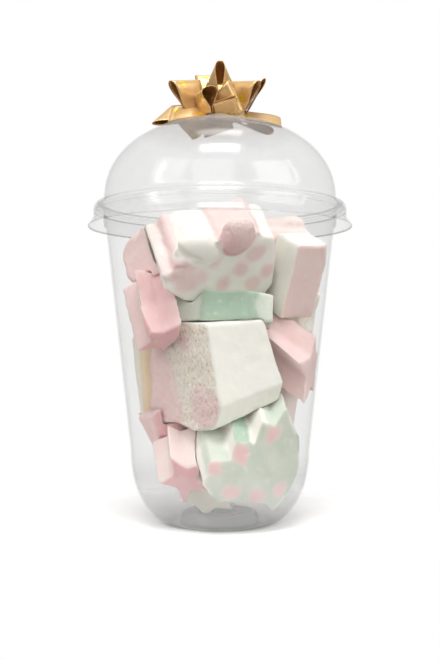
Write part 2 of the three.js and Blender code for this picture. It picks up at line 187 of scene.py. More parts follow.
# The tints of a strand, as its shares of pink, mint and lemon.
STRAND_TINTS = dict(
    w=(0, 0, 0),  # white
    b=(0.3, 0, 0),  # blush
    s=(0.4, 0, 0),  # shell pink
    a=(0.5, 0, 0.04),  # apricot pink
    p=(0.6, 0, 0),  # pink
    # q deepens one of star_left's lobes to paint the shade on it.
    q=(0.72, 0, 0),  # deep pink
    r=(1, 0, 0),  # rose
    # h's blush greys the mint to paint shade on mint_low's middle.
    h=(0.25, 0.6, 0),  # mint with a blush
    m=(0, 0.5, 0),  # pale mint
    g=(0, 1, 0),  # mint
    c=(0, 0, 0.2),  # cream
    l=(0, 0, 1),  # lemon
    o=(0.35, 0, 0.6),  # peach
)
SMOOTH_TINT = STRAND_TINTS["p"]
SPOT_TINT = dict(top=(0.55, 0, 0), front=(0.5, 0, 0))
DOT_TINT = (0.8, 0.1, 0)  # where the spots lie on mint

# Relief, as the depth, the size and the seed of each layer of lumps.
DENTS = ((0.5, 9, 1), (0.25, 3.5, 2))
CRUMBS = ((0.6, 2.2, 3), (0.5, 1.3, 4))
SEAM = dict(depth=1.1, width=0.42)  # the grooves where strands meet, with the width in strands
SKIN = 0.15  # how far all of it swells first
VOXEL = 0.55

# How far the borders of strands and spots stray, in layers of lumps too, and how soft they are: those of
# strands in strands, and the rest in millimetres.
WANDER = ((0.2, 5, 5), (0.12, 1.6, 6))
BLOTCHES = ((1, 4, 7),)
STRAND_BORDER = 0.14
SPOT_BORDER = dict(ragged=2.4, soft=1.6)
SMOOTH_BORDER = dict(ragged=7, inside=3, outside=2)

# Where the looks of a marshmallow change, as the two values that each fades in between.
FADES = dict(
    pressed=(1.1, 0.3),  # the distance from the wall
    cut=(0.45, 0.75),  # how squarely a point faces either end
    near_end=(0.1, 0.35),  # how squarely it faces the end that the azimuth and elevation name
    seams=(0.6, 0.95),  # the share of the way out from the middle
    core=(1.02, 0.9),  # the same share
    torn=(1.16, 1.06),  # the share of the way out of a torn strand's swollen end
)

# The material slot of a marshmallow by the first of these words in its name.
PIECE_SLOTS = dict(mint="mint", cream="mint", lemon="lemon", star="pink", pink="pink")

# Where the plastic's painted light and shade fall, as the lengths that each fades in between: painted shade
# in the heel, over the cup's base and at its stand, lighter painted rings in that shade, painted light at the
# middle of the dome under the bow, and fine lines at the lid's folds.
SHADE_LIGHT_AND_FOLD_FADES = dict(
    heel=(30, 2), base=(10, 4), base_radius=(30, 12), stand_shade=(4, 1), ring=(0.7, 0.2), cap_light=(147, 154),
    fold=(0.35, 0.1),
)
# The radius of the painted dark ring at the stand, the radii of the lighter painted rings in the base's
# shade, and the heights of the lid's folds.
STAND_RADIUS = 17.5
LIGHT_RING_RADII = (8, 13.2)
FOLDS = (122.2, 119, 113.5)

# Each lamp's (width, height), place and power. All face the middle of the cup.
LAMP_TARGET = (0, 0, 80)
LAMPS = dict(
    key=((260, 120), (0, -250, 630), 2.15),
    overhead=((200, 120), (0, 60, 620), 0.4),
    front_sheet=((500, 500), (-80, -690, 430), 1.2),
    left_box=((60, 420), (-520, -300, 300), 0.35),
    left_sheet=((420, 500), (-520, -400, 420), 1.2),
    right_box=((40, 420), (560, -110, 320), 0.2),
    right_sheet=((420, 500), (520, -380, 340), 1.8),
)
FLOOR = dict(half_width=4000, fade=(50, 100), glow=0.08)


# ---- Camera ----
def make_camera():
    data = bpy.data.cameras.new("camera")
    data.lens = LENS
    camera = bpy.data.objects.new("camera", data)
    camera.location = EYE * MM
    camera.rotation_euler = (math.radians(90 + EYE_TILT), 0, 0)
    bpy.context.scene.collection.objects.link(camera)
    bpy.context.scene.camera = camera


make_camera()


# ---- Finishes ----
class Value:
    """A shader socket. Arithmetic on it adds Math nodes."""

    def __init__(self, finish, socket):
        self.finish = finish
        self.socket = socket

    def math(self, operation, *others):
        return self.finish.math(operation, self, *others)

    def __add__(self, other):
        return self.math("ADD", other)

    def __sub__(self, other):
        return self.math("SUBTRACT", other)

    def __rsub__(self, other):
        return self.finish.math("SUBTRACT", other, self)

    def __mul__(self, other):
        return self.math("MULTIPLY", other)

    def __truediv__(self, other):
        return self.math("DIVIDE", other)

    def __pow__(self, other):
        return self.math("POWER", other)

    def __abs__(self):
        return self.math("ABSOLUTE")

    __radd__ = __add__
    __rmul__ = __mul__


class Finish:
    """A material, or the world, and the nodes that make it."""

    def __init__(self, name, owner=None):
        self.owner = owner or bpy.data.materials.new(name)
        self.owner.use_nodes = True
        self.tree = self.owner.node_tree
        self.tree.nodes.clear()

    def node(self, kind, settings=None, sockets=None, out=0):
        made = self.tree.nodes.new("ShaderNode" + kind)
        for name, value in (settings or {}).items():
            setattr(made, name, value)
        for key, value in (sockets or {}).items():
            if isinstance(value, Value):
                self.tree.links.new(value.socket, made.inputs[key])
            elif value is not None:
                made.inputs[key].default_value = value
        return Value(self, made.outputs[out])

    def math(self, operation, *values):
        return self.node("Math", {"operation": operation}, dict(enumerate(values)))

    def mix(self, factor, first, second):
        """The first colour, going over to the second as the factor goes to 1."""
        return self.node("Mix", {"data_type": "RGBA"}, {0: factor, 6: first, 7: second}, out=2)

    def step(self, value, low, high):
        """A smooth step from 0 to 1 as value goes from low to high."""
        return self.node("MapRange", {"interpolation_type": "SMOOTHSTEP"}, {0: value, 1: low, 2: high})

    def fade(self, value, start, end):
        """A smooth step between two lengths in millimetres."""
        return self.step(value, start * MM, end * MM)

    def marked(self, name):
        """The number that a piece's points carry under a name."""
        return self.node("Attribute", {"attribute_name": name}, out=2)

    def place(self):
        return self.node("TexCoord", out=3)

    def noise(self, size, detail=2.0, stretch=None, lean=(0, 0, 0)):
        """Noise with lumps of a size in millimetres, stretched along the axes and leaned if asked."""
        place = self.place()
        if stretch:
            place = self.node("Mapping", sockets={0: place, 2: lean, 3: stretch})
        return self.node("TexNoise", sockets={"Vector": place, "Scale": 1 / (size * MM), "Detail": detail})

    def bump(self, height, distance, strength=1.0, under=None):
        """Relief of a height in millimetres, on top of another relief if given."""
        sockets = {"Height": height, "Distance": distance * MM, "Strength": strength, "Normal": under}
        return self.node("Bump", sockets=sockets)

    def surface(self, shader, kind="Material"):
        output = self.tree.nodes.new("ShaderNodeOutput" + kind)
        self.tree.links.new(shader.socket, output.inputs["Surface"])
        return self.owner


def srgb(red, green, blue):
    """A screen colour of 0 to 255 as a linear one."""
    def linear(part):
        part /= 255
        return part / 12.92 if part <= 0.04045 else ((part + 0.055) / 1.055) ** 2.4
    return (linear(red), linear(green), linear(blue), 1.0)


TINTS = dict(pink=srgb(235, 184, 186), mint=srgb(170, 195, 174), lemon=srgb(240, 218, 170))


def marshmallow_finish():
    """Soft foam: the strands' tints, dusted with starch, and rough with crumbs where it was cut, with painted
    shade in the hollows between crumbs.
    """
    finish = Finish("marshmallow")
    cut, pressed = finish.marked("cut"), finish.marked("pressed")
    cloud = finish.noise(7, 3)
    colour = finish.mix(cloud * 0.3, srgb(247, 245, 237), srgb(242, 238, 226))
    strength = 0.7 + 0.6 * cloud
    for name, deep in TINTS.items():
        colour = finish.mix(finish.math("MINIMUM", finish.marked(name) * strength, 1.0), colour, deep)
    crumbs = finish.noise(1.1, 2, stretch=(1.3, 1.3, 0.7), lean=(0, 0.6, 0))
    dust = finish.step(finish.noise(2.6, 4), 0.55, 0.75)
    colour = finish.mix(dust * 0.25, colour, srgb(250, 248, 243))
    # Painted shade: a darker pinkish brown in the hollows between crumbs, fainter where pressed on the wall.
    crumb_shade = cut * finish.step(crumbs, 0.48, 0.3)
    colour = finish.mix(crumb_shade * (0.6 - 0.4 * pressed), colour, srgb(208, 162, 150))
    relief = finish.bump(finish.noise(0.5, 3), 0.12, 0.5)
    relief = finish.bump(finish.noise(3.2, 3), 0.5, 0.45, relief)
    rough = (1 - pressed) * cut
    relief = finish.bump(crumbs * rough, 1.2, 0.9, relief)
    foam = finish.node(
        "BsdfPrincipled",
        sockets={
            "Base Color": colour, "Roughness": 0.82, "Normal": relief, "Specular IOR Level": 0.25,
            "Subsurface Weight": 0.35, "Subsurface Radius": (1.0, 0.75, 0.6), "Subsurface Scale": 0.003,
            "Sheen Weight": 0.15, "Sheen Roughness": 0.6,
        },
    )
    return finish.surface(foam)


def plastic_finish(name, haze, floor=0, folds=()):
    """Thin clear plastic: nearly unseen face on, grey and glossy where it turns away. The floor is how much
    of it shows in a cup's heel and base as painted shade. Painted shade also greys it over the base and
    darkens a ring at the stand, with lighter painted rings; painted light whitens the middle of the dome
    under the bow; and at the heights of its folds it shows as fine lines."""
    finish = Finish(name)
    facing = finish.node("LayerWeight", sockets={"Blend": 0.5}, out=1)
    scuffs = finish.noise(14, 3)
    relief = finish.bump(finish.noise(22, 2), 0.25, 0.35)
    clear = finish.node("BsdfTransparent", sockets={"Color": (0.985, 0.985, 0.985, 1)})
    gloss = finish.node(
        "BsdfPrincipled",
        sockets={
            "Base Color": (0.92, 0.92, 0.92, 1), "Metallic": 1.0, "Roughness": 0.15, "Normal": relief,
        },
    )
    height = finish.node("SeparateXYZ", sockets={0: finish.place()}, out=2)
    across = finish.node("VectorMath", {"operation": "MULTIPLY"}, {0: finish.place(), 1: (1, 1, 0)})
    radius = finish.node("VectorMath", {"operation": "LENGTH"}, {0: across}, out=1)
    # Painted shade: the plastic shows more in the heel and darker grey over the base, darkest in a ring at
    # the stand, with lighter painted rings in it.
    heel = finish.fade(height, *SHADE_LIGHT_AND_FOLD_FADES["heel"])
    base = finish.fade(height, *SHADE_LIGHT_AND_FOLD_FADES["base"]) * finish.fade(radius, *SHADE_LIGHT_AND_FOLD_FADES["base_radius"])
    ring, light_edge = (finish.fade(abs(radius - at * MM), *SHADE_LIGHT_AND_FOLD_FADES["ring"]) for at in LIGHT_RING_RADII)
    near_stand = finish.fade(abs(radius - STAND_RADIUS * MM), *SHADE_LIGHT_AND_FOLD_FADES["stand_shade"])
    stand_shade = near_stand * finish.fade(height, *SHADE_LIGHT_AND_FOLD_FADES["stand_shade"])
    # Painted light: a warm whitish veil at the middle of the dome, over the shade under the bow.
    cap_light = finish.fade(height, *SHADE_LIGHT_AND_FOLD_FADES["cap_light"])
    grey = finish.mix(base * (1 - ring) * (1 - 0.8 * light_edge), (0.6, 0.6, 0.6, 1), (0.25, 0.25, 0.245, 1))
    grey = finish.mix(stand_shade * 0.7, grey, (0.2, 0.2, 0.19, 1))
    grey = finish.mix(cap_light, grey, (0.98, 0.93, 0.89, 1))
    body = finish.node(
        "BsdfPrincipled",
        sockets={"Base Color": grey, "Roughness": 0.12, "Normal": relief},
    )
    shine = finish.node("MixShader", sockets={0: 0.03 + 0.12 * facing ** 5, 1: clear, 2: gloss})
    turned_away = 0.06 * facing ** 8 + 0.24 * facing ** 40
    shows = (haze + 0.2 * cap_light) * (0.6 + 0.8 * scuffs) + turned_away + floor * (0.42 * heel + 1.15 * base)
    for fold in folds:
        shows = shows + 0.24 * finish.fade(abs(height - fold * MM), *SHADE_LIGHT_AND_FOLD_FADES["fold"])
    return finish.surface(finish.node("MixShader", sockets={0: shows, 1: shine, 2: body}))


def ribbon_finish():
    """Metallised gold film: a satin outside with a print of small bright stars, and painted shade as a
    browner gold on its inner face and the hub.
    """
    finish = Finish("gold_film")
    across, along, inside = (finish.marked(name) for name in ("across", "along", "inside"))
    row = finish.math("FLOOR", along / STAR["pitch"])
    x = abs(along / STAR["pitch"] - row - 0.5) * STAR["pitch"]
    y = abs(across - STAR["sway"] * finish.math("SINE", row * STAR["turn"]))
    star = (x + 0.02) ** STAR["curve"] + (y + 0.02) ** STAR["curve"]
    print_mask = finish.step(star, *STAR["size"])
    brushed = finish.noise(1.2, 3, stretch=(1, 1, 0.2))
    gold = finish.mix(brushed * 0.35, srgb(215, 177, 121), srgb(199, 157, 99))
    # Painted shade: the inner face and the hub go over to a darker brown.
    gold = finish.mix(inside * 0.65, gold, srgb(158, 104, 52))
    gold = finish.mix(print_mask, gold, srgb(238, 204, 66))
    relief = finish.bump(finish.noise(6, 2), 0.4, 0.4)
    film = finish.node(
        "BsdfPrincipled",
        sockets={
            "Base Color": gold, "Metallic": 0.5, "Roughness": 0.38 - 0.14 * print_mask, "Normal": relief,
            "Coat Weight": 0.4, "Coat Roughness": 0.12,
        },
    )
    return finish.surface(film)


def pad_finish():
    finish = Finish("glue_pad")
    colour = finish.mix(finish.noise(1.5, 3), srgb(226, 214, 196), srgb(203, 184, 158))
    relief = finish.bump(finish.noise(0.8, 3), 0.2, 0.5)
    glue = finish.node("BsdfPrincipled", sockets={"Base Color": colour, "Roughness": 0.6, "Normal": relief})
    return finish.surface(glue)


# ---- Meshes ----
def mesh_of(name, points, faces, tidy=False):
    """An object from points in millimetres. Tidying joins doubled points and turns the faces outwards."""
    data = bpy.data.meshes.new(name)
    data.from_pydata((np.asarray(points) * MM).tolist(), [], [tuple(f) for f in faces])
    if tidy:
        shape = bmesh.new()
        shape.from_mesh(data)
        bmesh.ops.remove_doubles(shape, verts=shape.verts, dist=1e-6)
        bmesh.ops.dissolve_degenerate(shape, edges=shape.edges, dist=1e-7)
        bmesh.ops.recalc_face_normals(shape, faces=shape.faces)
        shape.to_mesh(data)
        shape.free()
    piece = bpy.data.objects.new(name, data)
    bpy.context.scene.collection.objects.link(piece)
    return piece


def grid_faces(rows, columns, row_wrap=False, column_wrap=False):
    """Four-sided faces over a grid of points numbered row by row."""
    row, column = np.meshgrid(
        np.arange(rows - (not row_wrap)), np.arange(columns - (not column_wrap)), indexing="ij"
    )
    row_on, column_on = (row + 1) % rows, (column + 1) % columns
    corners = [(row, column), (row, column_on), (row_on, column_on), (row_on, column)]
    return np.stack([r * columns + c for r, c in corners], -1).reshape(-1, 4).tolist()


def turned(name, outline, sides, closed=True):
    """A piece turned about the axis from its outline of (radius, height)."""
    radius, height = np.array(outline, float).T
    angle = np.arange(sides) * 2 * math.pi / sides
    points = np.stack(
        [radius[:, None] * np.sin(angle), -radius[:, None] * np.cos(angle), height[:, None] + 0 * angle], -1
    )
    faces = grid_faces(len(outline), sides, row_wrap=closed, column_wrap=True)
    return mesh_of(name, points.reshape(-1, 3), faces, tidy=True)


def eased(outline, radius, steps=6):
    """An outline with its inner corners rounded."""
    corners = [np.array(p, float) for p in outline]
    made = [corners[0]]
    for before, corner, after in zip(corners, corners[1:], corners[2:]):
        come, leave = before - corner, after - corner
        trim = min(radius, np.hypot(*come) / 2, np.hypot(*leave) / 2)
        start = corner + come / np.hypot(*come) * trim
        end = corner + leave / np.hypot(*leave) * trim
        for t in np.linspace(0, 1, steps):
            made.append((1 - t) ** 2 * start + 2 * t * (1 - t) * corner + t**2 * end)
    return [tuple(p) for p in [*made, corners[-1]]]


def baked(piece):
    """Applies a piece's modifiers."""
    graph = bpy.context.evaluated_depsgraph_get()
    data = bpy.data.meshes.new_from_object(piece.evaluated_get(graph))
    piece.modifiers.clear()
    piece.data = data


def modify(piece, kind, **settings):
    modifier = piece.modifiers.new(kind, kind)
    for name, value in settings.items():
        setattr(modifier, name, value)


def points_of(piece):
    found = np.empty(len(piece.data.vertices) * 3)
    piece.data.vertices.foreach_get("co", found)
    return found.reshape(-1, 3) / MM


def reach(piece):
    """The lowest and highest corners of a piece's box."""
    points = points_of(piece)
    return points.min(0), points.max(0)


def normals_of(piece):
    found = np.empty(len(piece.data.vertices) * 3)
    piece.data.vertex_normals.foreach_get("vector", found)
    return found.reshape(-1, 3)


def move_points(piece, points):
    piece.data.vertices.foreach_set("co", (points * MM).ravel())
    piece.data.update()


def mark(piece, **values):
    """Stores a number on every point of a piece under each name."""
    for name, value in values.items():
        piece.data.attributes.new(name, "FLOAT", "POINT").data.foreach_set("value", value)


def dress(piece, finish, slot, *nodes):
    piece.data.materials.clear()
    piece.data.materials.append(finish)
    piece.data.polygons.foreach_set("use_smooth", [True] * len(piece.data.polygons))
    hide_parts(*nodes)
    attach(piece, "root")


def smoothstep(value, low, high):
    part = np.clip((value - low) / (high - low), 0, 1)
    return part * part * (3 - 2 * part)


def lumps(points, size, seed=0):
    """Smooth noise from 0 to 1, with lumps of a size. Each corner of its cells has a height that is hashed
    from where the corner is."""
    cell = points / size + 31.7 * seed
    corner = np.floor(cell).astype(np.int64)
    part = cell - corner
    part = part * part * (3 - 2 * part)
    total = np.zeros(len(points))
    for offset in product((0, 1), repeat=3):
        x, y, z = (corner + offset).T
        mixed = (x * 73856093) ^ (y * 19349663) ^ (z * 83492791)
        mixed = (mixed * 2654435761) & 0xFFFFFFFF
        mixed = ((mixed ^ (mixed >> 15)) * 2246822519) & 0xFFFFFFFF
        weight = np.prod(np.where(offset, part, 1 - part), axis=1)
        total += weight * ((mixed >> 8) & 0xFFFF) / 0xFFFF
    return total


# ---- Cup and lid ----
def arc(centre, half_axes, start, end, steps):
    """Points along an ellipse from one angle to another, in degrees."""
    angle = np.radians(np.linspace(start, end, steps))
    return [
        (centre[0] + half_axes[0] * math.cos(a), centre[1] + half_axes[1] * math.sin(a)) for a in angle
    ]


def wall_radius(height):
    return CUP["foot"] + CUP["heel_width"] + CUP["taper"] * (height - CUP["heel_height"])


def cup_side(inset, steps=26):
    """The cup's outside from the foot to the step, moved inwards by inset."""
    width, height = CUP["heel_width"] - inset, CUP["heel_height"] - inset
    heel = arc((CUP["foot"], CUP["heel_height"]), (width, height), -90, 0, steps)
    wall = [(wall_radius(z) - inset, z) for z in np.linspace(CUP["heel_height"], CUP["step"], 12)[1:]]
    return heel + wall


def cup_outline():
    wall, step = CUP["wall"], CUP["step"] + CUP["step_height"]
    neck = wall_radius(CUP["step"]) + CUP["step_out"]
    under_rim = CUP["rim_height"] - CUP["rim_rise"]
    slope = CUP["recess"] - CUP["recess_slope"]
    floor = [(0, CUP["recess_depth"]), (slope, CUP["recess_depth"]), (CUP["recess"], 0), (CUP["foot"], 0)]
    rim_axes = (CUP["rim_width"], CUP["rim_rise"])
    rim = arc((CUP["rim"], CUP["rim_height"]), rim_axes, -90, 90, 12)
    outside = [*eased(floor, 0.8)[:-1], *cup_side(0), (neck, step), (neck + CUP["lean"], under_rim), *rim]
    inner_floor = [
        (CUP["foot"], wall), (CUP["recess"] + wall, wall),
        (slope + wall, CUP["recess_depth"] + wall), (0, CUP["recess_depth"] + wall),
    ]
    inside = [
        (neck + CUP["lean"], CUP["rim_height"]), (neck + CUP["lean"] - wall, under_rim), (neck - wall, step),
        *cup_side(wall)[::-1], *eased(inner_floor, 0.8)[1:],
    ]
    return [*outside, *inside]


def dome_side(inset, steps=48):
    """The dome from its base to the middle of its top, moved inwards by inset."""
    angle = np.linspace(0, math.pi / 2, steps)
    power = 2 / LID["power"]
    radius = (LID["dome"] - inset) * np.maximum(np.cos(angle), 0) ** power
    height = LID["base"] + (LID["top"] - inset - LID["base"]) * np.sin(angle) ** power
    radius[-1] = 0
    return list(zip(radius, height))


def lid_side(inset):
    """The lid below its dome, from the lip up, moved inwards by inset."""
    shoulder = (LID["shoulder"], LID["shoulder_height"])
    axes = (LID["shoulder_width"] - inset, LID["shoulder_rise"] - inset)
    return [
        (LID["flare"] - inset, LID["flare_height"] - inset),
        (LID["shoulder"] + LID["shoulder_width"] - inset, LID["skirt"]),
        *arc(shoulder, axes, 0, 90, 9),
    ]


def lid_outline():
    wall = LID["wall"]
    lip = [(LID["lip"], LID["lip_height"]), (LID["lip"], LID["lip_height"] + wall)]
    return [*lip, *lid_side(0), *dome_side(0), *dome_side(wall)[::-1], *lid_side(wall)[::-1]]


def make_cup_and_lid():
    cup = turned("clear_cup", cup_outline(), SIDES["cup"])
    # The cup's floor share is the painted shade in its heel and base.
    dress(cup, plastic_finish("cup_plastic", haze=0.015, floor=0.42), "cup_plastic", "cup")
    lid = turned("dome_lid", lid_outline(), SIDES["cup"])
    dress(lid, plastic_finish("lid_plastic", haze=0.045, folds=FOLDS), "lid_plastic", "lid")


# ---- Marshmallows ----
def room_outline():
    """The room in the closed cup, a gap clear of its walls."""
    inset = CUP["wall"] + GAP
    low = CUP["recess_depth"] + inset
    top = CUP["rim_height"] + CUP["rim_rise"]
    return [
        (0, low), (CUP["recess"] - CUP["recess_slope"] + inset, low), (CUP["recess"] + inset, inset),
        *cup_side(inset), (wall_radius(CUP["step"]) - inset, top), *dome_side(inset),
    ]


def room_radius(height):
    """How far the room reaches from the axis at each height."""
    outline = np.array(room_outline()[2:])
    return np.interp(height, outline[:, 1], outline[:, 0])


def section_radius(section, angle):
    """The radius of a section of radius 1 at an angle."""
    if "corners" in section:
        corner = np.array(section["corners"])
        turn = np.unwrap(np.arctan2(corner[:, 1], corner[:, 0]))
        turn, corner = np.append(turn, turn[0] + 2 * math.pi), np.vstack([corner, corner[0]])
        angle = (angle - turn[0]) % (2 * math.pi) + turn[0]
        last = np.clip(np.searchsorted(turn, angle, side="right") - 1, 0, len(turn) - 2)
        start, side = corner[last], corner[last + 1] - corner[last]
        cross = start[..., 0] * side[..., 1] - start[..., 1] * side[..., 0]
        return cross / (np.cos(angle) * side[..., 1] - np.sin(angle) * side[..., 0])
    half = math.pi / section["lobes"]
    angle = (angle + half) % (2 * half) - half
    if "lobe" in section:
        lobe = section["lobe"]
        return (1 - lobe) * np.cos(angle) + np.sqrt(lobe**2 - ((1 - lobe) * np.sin(angle)) ** 2)
    off, valley = np.abs(angle), section["valley"]
    return valley * math.sin(half) / (np.sin(off) + valley * np.sin(half - off))


def aimed(azimuth, elevation, roll=0.0):
    """The turn that takes +Z to an azimuth and elevation, after a roll about Z, as a matrix."""
    aim = Euler((math.radians(90 - elevation), 0, math.radians(azimuth))).to_matrix()
    return np.array(aim @ Matrix.Rotation(math.radians(roll), 3, "Z"))


class Log:
    """A marshmallow before it is pressed: where it lies, and a place's whereabouts within it."""

    def __init__(self, name, section, size, at, aim, roll, twist, strands, middle, crumbly,
                 slopes=(0, 0, 0, 0), growth=0):
        self.name, self.strands, self.middle, self.crumbly = name, strands, middle, crumbly
        self.section = SECTIONS[section]
        self.sharp = "lobe" not in self.section
        self.width, self.height, self.length = size
        self.at, self.turn = np.array(at, float), aimed(*aim)
        self.roll, self.twist, self.growth = roll, twist, growth
        self.near, self.far = np.array(slopes[:2]), np.array(slopes[2:])

    def twisted(self, x, y, z, back=False):
        angle = np.radians(self.roll + self.twist * z / self.length) * (-1 if back else 1)
        return x * np.cos(angle) - y * np.sin(angle), x * np.sin(angle) + y * np.cos(angle)

    def mesh(self, grow):
        """The whole log as a closed mesh, grown all round."""
        lobes, fine = self.section["lobes"], LOG_STEPS["lobe"]
        angle = (np.arange(fine * lobes) / fine - 0.5) * 2 * math.pi / lobes
        radius = section_radius(self.section, angle)
        half = self.length / 2 + grow
        bend = np.radians(np.linspace(90, 0, LOG_STEPS["ease"]))
        end = [(EASE * (1 - math.cos(b)), half - EASE * (1 - math.sin(b))) for b in bend]
        side = [(0, z) for z in np.linspace(half - EASE, EASE - half, LOG_STEPS["side"])[1:-1]]
        rows = [(None, half), *end, *side, *[(inset, -z) for inset, z in end[::-1]], (None, -half)]
        points = []
        for inset, z in rows:
            keep = 0 if inset is None else 1
            spread = grow - (inset or 0)
            x = keep * (radius * self.width + spread) * np.cos(angle)
            y = keep * (radius * self.height + spread) * np.sin(angle) * (1 + self.growth * z / self.length)
            x, y = self.twisted(x, y, z)
            slope = self.far + (self.near - self.far) * (z / self.length + 0.5)
            points.append(np.stack([x, y, z + slope[0] * x + slope[1] * y], -1))
        points = np.concatenate(points) @ self.turn.T + self.at
        return points, grid_faces(len(rows), len(angle), column_wrap=True)

    def within(self, points):
        """Each point's (x, y) in the log untwisted, its angle and its share of the way out."""
        x, y, z = ((points - self.at) @ self.turn).T
        mean, spread = (self.near + self.far) / 2, (self.near - self.far) / self.length
        z = (z - mean[0] * x - mean[1] * y) / (1 + spread[0] * x + spread[1] * y)
        x, y = self.twisted(x, y, z, back=True)
        y = y / (1 + self.growth * z / self.length)
        angle = np.arctan2(y / self.height, x / self.width)
        out = np.hypot(x / self.width, y / self.height) / section_radius(self.section, angle)
        return x, y, angle, out


def ball_mesh():
    """A ball of radius 1."""
    rows, sides = BALL_STEPS["rows"], BALL_STEPS["sides"]
    down, around = np.linspace(0, math.pi, rows), np.arange(sides) * 2 * math.pi / sides
    down, around = np.meshgrid(down, around, indexing="ij")
    points = np.stack([np.sin(down) * np.cos(around), np.sin(down) * np.sin(around), np.cos(down)], -1)
    return points.reshape(-1, 3), grid_faces(rows, sides, column_wrap=True)


def log_piece(log, name, grow):
    """The whole log as an object, with the swollen ends of its torn strands."""
    points, faces = log.mesh(grow)
    piece = mesh_of(name, points, faces, tidy=True)
    ball, ball_faces = ball_mesh()
    for centre, half_axes, _ in TORN.get(log.name, ()):
        at = (ball * (np.array(half_axes) + grow) + centre) @ log.turn.T + log.at
        end = mesh_of("end", at, ball_faces, tidy=True)
        modify(piece, "BOOLEAN", operation="UNION", object=end, solver="MANIFOLD")
        baked(piece)
        bpy.data.objects.remove(end)
    return piece


def largest_part(piece):
    """Deletes all but the largest of a piece's separate parts."""
    shape = bmesh.new()
    shape.from_mesh(piece.data)
    left, parts = set(shape.verts), []
    while left:
        part, waiting = set(), [left.pop()]
        while waiting:
            point = waiting.pop()
            part.add(point)
            for edge in point.link_edges:
                other = edge.other_vert(point)
                if other in left:
                    left.discard(other)
                    waiting.append(other)
        parts.append(part)
    if len(parts) > 1:
        keep = max(parts, key=len)
        bmesh.ops.delete(shape, geom=[v for v in shape.verts if v not in keep], context="VERTS")
        shape.to_mesh(piece.data)
    shape.free()


def strand_tints(log, angle, wander):
    """How much pink, mint and lemon there is at each angle, with soft wandering borders between strands."""
    count = len(log.strands)
    turn = angle / (2 * math.pi) * count + wander
    strand = np.floor(turn)
    over = smoothstep(turn - strand, 1 - STRAND_BORDER, 1 + STRAND_BORDER)
    short = smoothstep(turn - strand, STRAND_BORDER, -STRAND_BORDER)
    tints = np.array([STRAND_TINTS[letter] for letter in log.strands], float)
    here, after, before = (tints[(strand + step).astype(int) % count] for step in (0, 1, -1))
    return here * (1 - over - short)[:, None] + after * over[:, None] + before * short[:, None]


def strand_seams(log, angle, wander):
    """How deep the grooves are at each angle: they run where strands of two tints meet."""
    if log.sharp and log.name not in TORN:
        return 0
    count = len(log.strands)
    turn = angle / (2 * math.pi) * count + wander
    strand = np.round(turn).astype(int)
    meets = np.array([log.strands[i - 1] != log.strands[i] for i in range(count)])[strand % count]
    return meets * smoothstep(np.abs(turn - strand), SEAM["width"], 0) * SEAM["depth"]


def press(log, room, earlier):
    """The log cut to the room and to the marshmallows before it, with its edges softened."""
    piece = log_piece(log, "mallow_" + log.name, 0)
    low, high = reach(piece)
    modify(piece, "BOOLEAN", operation="INTERSECT", object=room, solver="MANIFOLD")
    for other, (other_low, other_high) in earlier:
        if (low < other_high).all() and (other_low < high).all():
            modify(piece, "BOOLEAN", operation="DIFFERENCE", object=other, solver="MANIFOLD")
    baked(piece)
    largest_part(piece)
    modify(piece, "REMESH", mode="VOXEL", voxel_size=VOXEL * MM)
    modify(piece, "SMOOTH", factor=0.5, iterations=5)
    baked(piece)
    return piece


def layered(points, layers, middle=0.0):
    """The lumps of several layers, each counted from its middle."""
    return sum(depth * (lumps(points, size, seed) - middle) for depth, size, seed in layers)


def blend(tints, share, tint):
    """The tints, going over to another as the share goes to 1."""
    return tints * (1 - share[:, None]) + np.outer(share, tint)


def slot_of(name):
    return next((slot for word, slot in PIECE_SLOTS.items() if word in name), "white_and_pink")


